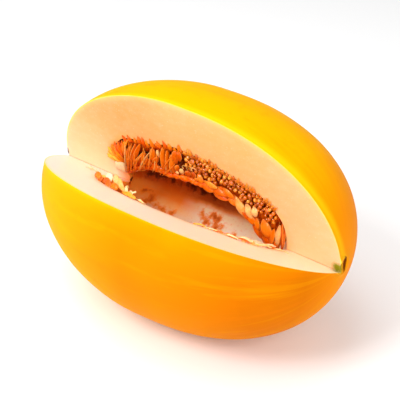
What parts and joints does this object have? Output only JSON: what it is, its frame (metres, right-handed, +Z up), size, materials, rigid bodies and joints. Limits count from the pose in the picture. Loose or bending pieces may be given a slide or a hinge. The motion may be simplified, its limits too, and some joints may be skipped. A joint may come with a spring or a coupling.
{
  "type": "honeydew melon",
  "caption": "Yellow honeydew melon lying on its side with a wedge cut out down to the open seed cavity, orange pulp and seeds left inside.",
  "frame": {"origin": "middle of the flat spot that the fruit rests on", "axes": "+Z up; the fruit's axis lies along X, stem end at +X and blossom end at -X; the wedge opens towards -Y and up"},
  "size_m": [0.2157, 0.1527, 0.1515],
  "materials": {
    "rind_and_flesh": "smooth waxy yellow rind with faint lengthwise streaks; cut flesh is moist, cream to pale peach",
    "pulp_and_seeds": "wet, glossy orange pulp with golden seeds",
    "pulp_scraps": "wet orange pulp with pale yellow fibres"
  },
  "bodies": {
    "root": {"melon_body": "rind_and_flesh", "seed_bunch": "pulp_and_seeds", "pulp_scrap_blossom_end": "pulp_scraps", "pulp_scrap_stem_end": "pulp_scraps"}
  },
  "joints": []
}
